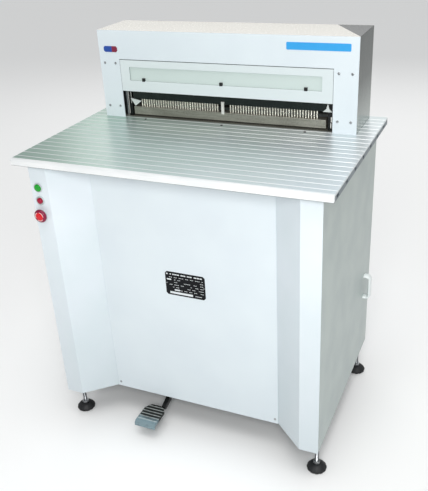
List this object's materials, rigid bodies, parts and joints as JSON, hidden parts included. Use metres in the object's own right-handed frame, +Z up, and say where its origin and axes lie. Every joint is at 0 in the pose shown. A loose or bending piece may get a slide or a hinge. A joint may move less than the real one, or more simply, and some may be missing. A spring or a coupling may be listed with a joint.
{
  "type": "floor-standing paper hole punch",
  "caption": "Floor-standing motor-driven paper hole punch: table on a cabinet with levelling feet, punch head with a swing-up guard, side door, push buttons and foot pedal.",
  "frame": {"origin": "on the floor, under the middle of the machine's overall width and depth", "axes": "+Z up, -Y towards the user at the table's front, +X to the user's right"},
  "size_m": [0.922, 0.646, 1.206],
  "materials": {
    "white_paint": "semi-gloss",
    "door_paint": "semi-gloss, slightly mottled",
    "bright_steel": "polished sheet",
    "ridged_aluminium": "ridged, satin",
    "planks": "satin",
    "black_steel": "blackened",
    "ground_steel": "ground",
    "ram_paint": "gloss black-green",
    "pin_steel": "polished",
    "frame_paint": "semi-gloss grey",
    "plain_steel": "plain",
    "cast": "as cast",
    "tread_iron": "worn at the ribs",
    "black_paint": "satin",
    "motor_paint": "semi-gloss",
    "belt_rubber": "matt",
    "zinc": "zinc plated",
    "gusset_paint": "semi-gloss, pale",
    "foot_rubber": "matt",
    "handle_plastic": "gloss",
    "clip_plastic": "matt",
    "box_plastic": "matt",
    "collar_plastic": "satin",
    "green_plastic": "gloss",
    "red_plastic": "gloss",
    "estop_plastic": "gloss",
    "label_blue": "bare",
    "badge_colours": "bare, blue and maroon",
    "plate_black": "bare with pale bars"
  },
  "bodies": {
    "machine": {"base_frame": "frame_paint", "head_frame": "frame_paint", "shaft_bearings": "cast", "die_plate": "black_steel", "die_beam": "black_steel", "guide_bar": "ground_steel", "end_blocks": "black_steel", "bar_gussets": "gusset_paint", "paper_stop": "plain_steel", "motor": "motor_paint", "drive_belt": "belt_rubber", "table_deck": "ridged_aluminium", "table_planks": "planks", "table_edge": "planks", "right_column": "white_paint", "left_column": "white_paint", "front_panel": "white_paint", "left_side_panel": "white_paint", "cable_gland": "clip_plastic", "door_pivots": "zinc", "back_panel": "white_paint", "head_front": "white_paint", "head_wrap": "bright_steel", "head_back": "white_paint", "guard_pins": "zinc", "front_badge": "badge_colours", "front_label": "label_blue", "data_plate": "plate_black", "cover_screws": "zinc", "switch_bodies": "collar_plastic", "control_box": "box_plastic", "chip_chute": "zinc", "chip_bin": "zinc", "bin_shelf": "zinc", "pedal_spring": "plain_steel", "inner_mounts": "frame_paint"},
    "ram": {"ram_bar": "ram_paint", "punch_holder": "ram_paint", "punch_pins": "pin_steel", "centre_post": "pin_steel", "pull_rods": "plain_steel"},
    "drive_shaft": {"eccentric_shaft": "plain_steel", "clutch_hub": "cast"},
    "flywheel": {"flywheel": "cast"},
    "motor_rotor": {"motor_rotor": "plain_steel"},
    "pedal": {"pedal_tread": "tread_iron", "pedal_arm": "black_paint"},
    "clutch_rod": {"clutch_rod": "plain_steel"},
    "clutch_crank": {"clutch_crank": "black_paint"},
    "guard": {"guard": "white_paint", "guard_clips": "clip_plastic"},
    "side_door": {"side_door": "door_paint", "door_handle": "handle_plastic"},
    "start_button": {"start_button": "green_plastic"},
    "stop_button": {"stop_button": "red_plastic"},
    "estop_button": {"estop_button": "estop_plastic"},
    "foot_front_right": {"foot_front_right": "foot_rubber"},
    "foot_front_left": {"foot_front_left": "foot_rubber"},
    "foot_rear_right": {"foot_rear_right": "foot_rubber"},
    "foot_rear_left": {"foot_rear_left": "foot_rubber"}
  },
  "joints": [
    {"name": "shaft_turn", "type": "hinge", "parent": "machine", "child": "drive_shaft", "pos_m": [0, 0.1545, 0.56], "axis": [1, 0, 0], "range_deg": [0, 180]},
    {"name": "ram_slide", "type": "slide", "parent": "machine", "child": "ram", "axis": [0, 0, 1], "range_m": [-0.014, 0]},
    {"name": "flywheel_spin", "type": "hinge", "parent": "machine", "child": "flywheel", "pos_m": [-0.272, 0.1545, 0.56], "axis": [1, 0, 0], "continuous": true},
    {"name": "motor_spin", "type": "hinge", "parent": "machine", "child": "motor_rotor", "pos_m": [-0.272, 0.11, 0.237], "axis": [1, 0, 0], "continuous": true},
    {"name": "pedal_press", "type": "hinge", "parent": "machine", "child": "pedal", "pos_m": [-0.118, -0.03, 0.15], "axis": [1, 0, 0], "range_deg": [0, 6], "stiffness_Nm_per_rad": 12, "springref_deg": -28.65, "deforming": ["pedal_spring"]},
    {"name": "clutch_rod_slide", "type": "slide", "parent": "machine", "child": "clutch_rod", "axis": [0, 0, 1], "range_m": [-0.0085, 0]},
    {"name": "clutch_crank_turn", "type": "hinge", "parent": "machine", "child": "clutch_crank", "pos_m": [-0.327, 0.08, 0.47], "axis": [1, 0, 0], "range_deg": [0, 2.6]},
    {"name": "guard_swing", "type": "hinge", "parent": "machine", "child": "guard", "pos_m": [0, 0.119, 1.1125], "axis": [-1, 0, 0], "range_deg": [0, 85]},
    {"name": "door_swing", "type": "hinge", "parent": "machine", "child": "side_door", "pos_m": [0.4235, -0.281, 0.5], "axis": [0, 0, -1], "range_deg": [0, 110]},
    {"name": "start_press", "type": "slide", "parent": "machine", "child": "start_button", "axis": [0, 1, 0], "range_m": [0, 0.003], "stiffness_N_per_m": 300, "springref_m": -0.01},
    {"name": "stop_press", "type": "slide", "parent": "machine", "child": "stop_button", "axis": [0, 1, 0], "range_m": [0, 0.003], "stiffness_N_per_m": 300, "springref_m": -0.01},
    {"name": "estop_press", "type": "slide", "parent": "machine", "child": "estop_button", "axis": [0, 1, 0], "range_m": [0, 0.004], "stiffness_N_per_m": 800, "springref_m": -0.01},
    {"name": "foot_front_right_turn", "type": "hinge", "parent": "machine", "child": "foot_front_right", "pos_m": [0.411, -0.237, 0.06], "axis": [0, 0, 1], "continuous": true},
    {"name": "foot_front_left_turn", "type": "hinge", "parent": "machine", "child": "foot_front_left", "pos_m": [-0.411, -0.237, 0.06], "axis": [0, 0, 1], "continuous": true},
    {"name": "foot_rear_right_turn", "type": "hinge", "parent": "machine", "child": "foot_rear_right", "pos_m": [0.411, 0.276, 0.06], "axis": [0, 0, 1], "continuous": true},
    {"name": "foot_rear_left_turn", "type": "hinge", "parent": "machine", "child": "foot_rear_left", "pos_m": [-0.411, 0.276, 0.06], "axis": [0, 0, 1], "continuous": true}
  ],
  "couplings": [
    {"joint": "ram_slide", "follows": "shaft_turn", "m_per_rad": -0.0044563},
    {"joint": "motor_spin", "follows": "flywheel_spin", "ratio": 3.6119},
    {"joint": "clutch_rod_slide", "follows": "pedal_press", "m_per_rad": -0.08},
    {"joint": "clutch_crank_turn", "follows": "pedal_press", "ratio": 0.42105}
  ]
}
